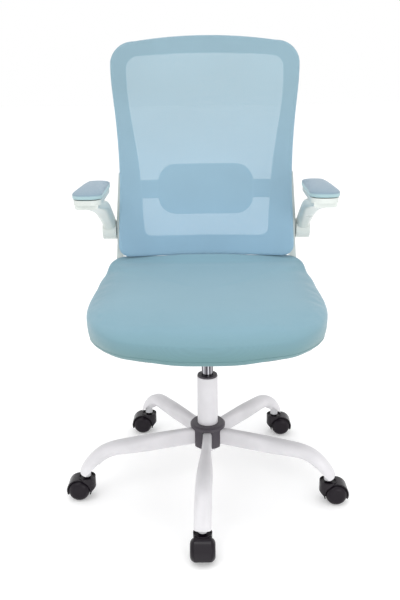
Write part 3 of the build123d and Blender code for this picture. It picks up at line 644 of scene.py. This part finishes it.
def cushion():
    """The seat's crowned cushion, pulled in round the pan's edge underneath."""
    low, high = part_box("seat_cushion")

    def bulge(point):
        extra = SIDE_EXTRA + REAR_EXTRA * between(point.y, 0.0, 0.12)
        return -extra * between(abs(point.x), 0.1, 0.2)

    outline = inset_ring(even_ring(plan_hull("seat_cushion"), CUSHION_POINTS), bulge)
    floor_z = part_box("seat_pan")[1].z + CLEARANCE
    centre = Vector((0, -0.02, 0))

    def widest(y):
        return WIDEST_HEIGHT + SIDE_RISE * between(y, -0.15, 0.05) + REAR_RISE * between(y, 0.05, high.y)

    rings = []
    for step in range(CROWN_STEPS, -1, -1):
        angle = radians(90 * (step + 0.2) / (CROWN_STEPS + 0.4))
        ring = []
        for point in outline:
            sides = between(point.y, low.y + 0.03, low.y + 0.16)
            back = between(point.y, high.y - 0.06, high.y - 0.004)
            power = CROWN_POWER + SIDE_POWER * sides + REAR_POWER * back
            place = centre + (point - centre) * cos(angle) ** (2 / power)
            base = widest(point.y)
            middle = between(place.y, 0.16, 0.2) * (1 - between(abs(place.x), 0.04, 0.18))
            top = along_line(CROWN_LINE, place.y) + REAR_CROWN * middle
            ring.append(Vector((place.x, place.y, base + (top - base) * sin(angle) ** (2 / power))))
        rings.append(ring)

    def pulled_in(share):
        def inset(point):
            front = between(-point.y, 0.1, 0.2)
            rear = between(point.y, high.y - 0.05, high.y)
            corner = CORNER_RIM_INSET * front * between(abs(point.x), 0.06, 0.16)
            level = RIM_INSET + (FRONT_RIM_INSET - RIM_INSET) * front
            return share * (level + corner - REAR_RIM_INSET * rear)
        return inset

    def lip(point):
        corner = between(-point.y, 0.1, 0.2) * between(abs(point.x), 0.04, 0.16)
        return RIM_HEIGHT + RIM_RISE * corner

    for part in (0.2, 0.4, 0.6, 0.8, 0.93, 1.0):
        ring = inset_ring(outline, pulled_in(part**1.7))
        for point in ring:
            base = widest(point.y)
            point.z = base + (lip(point) - base) * part
        rings.append(ring)
    turned, tucked = [
        inset_ring(outline, lambda point: pulled_in(1.0)(point) + extra) for extra in HEM_INSETS
    ]
    for point in turned:
        point.z = lip(point) + 0.001
    for point in tucked:
        point.z = floor_z
    rings += [turned, tucked]
    ring = [centre + (point - centre) * 0.5 for point in outline]
    for point in ring:
        point.z = floor_z
    rings.append(ring)
    tip = Vector((0, centre.y, along_line(CROWN_LINE, centre.y)))
    piece = ring_mesh("cushion", rings, tip, Vector((0, centre.y, floor_z)))

    def free(point):
        return between(point.z, 0.413, 0.452) * (1 - between(point.y, 0.13, 0.18))

    puff(piece, voxel=0.006, pressure=4.0, cap=0.005, free=free)
    finish_piece(piece, "seat", "seat_fabric")
    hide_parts("seat_cushion")
    skin = surface_of_mesh(piece.data)
    seam = inset_ring(outline, pulled_in(SEAM_SHARE))
    for i, point in enumerate(seam):
        point.z = lip(point) + SEAM_RISE
        seam[i] = skin.find_nearest(point)[0]
    finish_piece(seam_cord("cushion_seam", seam), "seat", "seat_fabric")


# ------------------------------------------------------------------ armrest pads
PAD_POINTS = 72
PAD_STEPS = 9
PAD_POWER = 2.4  # how square the pad's section is
PAD_EDGE = 0.010  # height of its widest line above its plate
PAD_CROWN = 0.0015
PAD_DROP = 0.0045  # its ends are lower by this much
PAD_FOOT = ((0.995, 0.006), (0.985, 0.0025), (0.96, CLEARANCE), (0.5, CLEARANCE))


def arm_pad(side):
    """A crowned armrest pad, lower at its front and rear ends."""
    node = f"arm_pad_{side}"
    low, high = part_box(node)
    outline = even_ring(rim(node, DOWN), PAD_POINTS)
    centre = Vector(((low.x + high.x) / 2, (low.y + high.y) / 2, 0))
    half_length = (high.y - low.y) / 2
    middle = low.z + PAD_EDGE

    def top(y):
        return high.z + PAD_CROWN - PAD_DROP * abs((y - centre.y) / half_length) ** 2.2

    rings = []
    for step in range(PAD_STEPS, -1, -1):
        angle = radians(90 * (step + 0.3) / (PAD_STEPS + 0.6))
        ring = []
        height = sin(angle) ** (2 / PAD_POWER)
        for point in outline:
            place = centre + (point - centre) * cos(angle) ** (2 / PAD_POWER)
            ring.append(Vector((place.x, place.y, middle + (top(place.y) - middle) * height)))
        rings.append(ring)
    for reach, rise in PAD_FOOT:
        ring = [centre + (point - centre) * reach for point in outline]
        for point in ring:
            point.z = low.z + rise
        rings.append(ring)
    tip = Vector((centre.x, centre.y, top(centre.y)))
    foot = Vector((centre.x, centre.y, low.z + CLEARANCE))
    piece = ring_mesh(f"armrest_pad_{side}", rings, tip, foot)

    def free(point):
        return between(point.z, low.z + 0.003, low.z + 0.009)

    puff(piece, voxel=0.004, pressure=4.0, cap=0.0015, free=free)
    finish_piece(piece, "arm_l" if side == "left" else "arm_r", "arm_pad")
    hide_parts(node)


# ------------------------------------------------------------------ back
NET_POINTS = 220
NET_THICK = 0.0007
NET_GAP = 0.0002  # the net lies this far in front of its CAD solid
NET_REACHES = [0.06 + 0.92 * step / 34 for step in range(35)] + [0.992]  # rings, as shares of the plan
NET_INSET = 0.003  # the CAD net stops this far inside the frame's edge
WRAP = (  # outward past the frame's edge and rearward, round the edge to the hem behind
    (-0.0006, 0.0008),
    (0.0008, 0.003),
    (0.0014, 0.006),
    (0.0014, 0.010),
    (0.0008, 0.0135),
    (-0.0012, 0.0158),
    (-0.005, 0.0163),
    (-0.012, 0.0165),
)


def flat_ring(points):
    """A ring in the XZ plane, turned so that even_ring can walk it."""
    return [Vector((point.x, point.z, 0)) for point in points]


def net_sheet():
    """The back's net, stretched over the frame's front and wrapped round its edge."""
    surface = surface_of("back_mesh")
    outline = even_ring(flat_ring(rim("back_mesh", FORWARD)), NET_POINTS)
    centre = Vector((0, sum(point.y for point in outline) / NET_POINTS, 0))
    depth = {}

    def front(x, z):
        hit = surface.ray_cast(Vector((x, -1, z)), Vector((0, 1, 0)))[0]
        return hit.y if hit else None

    rings = []
    for reach in NET_REACHES:
        ring = []
        for i, point in enumerate(outline):
            place = centre + (point - centre) * reach
            y = front(place.x, place.y)
            if y is None:
                y = depth[i]
            depth[i] = y
            ring.append(Vector((place.x, y - NET_GAP, place.y)))
        rings.append(ring)
    for outward, rearward in WRAP:
        ring = []
        for i in range(NET_POINTS):
            along = outline[(i + 2) % NET_POINTS] - outline[i - 2]
            outside = Vector((along.y, -along.x, 0)).normalized()
            place = outline[i] + outside * (outward + NET_INSET)
            ring.append(Vector((place.x, depth[i] + rearward, place.y)))
        rings.append(ring)
    piece = ring_mesh("net_cover", rings, Vector((0, front(0, centre.y) - NET_GAP, centre.y)))
    solid = piece.modifiers.new("thickness", "SOLIDIFY")
    solid.thickness = NET_THICK
    solid.offset = 0
    apply_modifiers(piece)
    finish_piece(piece, "seat", "blue_mesh")
    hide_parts("back_mesh")


LUMBAR_POINTS = 96
LUMBAR_STEPS = 10
LUMBAR_POWER = 3.2
LUMBAR_EDGE = 0.003  # its widest line is this far ahead of its rear face


def lumbar_cushion():
    """The padded lumbar support behind the net, crowned towards the sitter."""
    surface = surface_of("lumbar_pad")
    low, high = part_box("lumbar_pad")
    outline = even_ring(flat_ring(rim("lumbar_pad", FORWARD)), LUMBAR_POINTS)
    centre = Vector((0, (low.z + high.z) / 2, 0))

    def faces(x, z):
        front = surface.ray_cast(Vector((x, -1, z)), Vector((0, 1, 0)))[0]
        rear = surface.ray_cast(Vector((x, 1, z)), Vector((0, -1, 0)))[0]
        return front.y, rear.y

    rings = []
    for step in range(LUMBAR_STEPS, -1, -1):
        angle = radians(90 * (step + 0.3) / (LUMBAR_STEPS + 0.6))
        reach = cos(angle) ** (2 / LUMBAR_POWER) * 0.99
        height = sin(angle) ** (2 / LUMBAR_POWER)
        ring = []
        for point in outline:
            place = centre + (point - centre) * reach
            front, rear = faces(place.x, place.y)
            middle = rear - LUMBAR_EDGE
            ring.append(Vector((place.x, middle + (front + 0.0005 - middle) * height, place.y)))
        rings.append(ring)
    for reach in (0.975, 0.5):
        ring = []
        for point in outline:
            place = centre + (point - centre) * reach
            ring.append(Vector((place.x, faces(place.x, place.y)[1] - CLEARANCE, place.y)))
        rings.append(ring)
    front, rear = faces(0, centre.y)
    foot = Vector((0, rear - CLEARANCE, centre.y))
    piece = ring_mesh("lumbar_cushion", rings, Vector((0, front, centre.y)), foot)
    finish_piece(piece, "lumbar", "lumbar_foam")
    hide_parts("lumbar_pad")


make_camera()
make_stage()
dress_nodes()
cushion()
for hand in ("left", "right"):
    arm_pad(hand)
net_sheet()
lumbar_cushion()
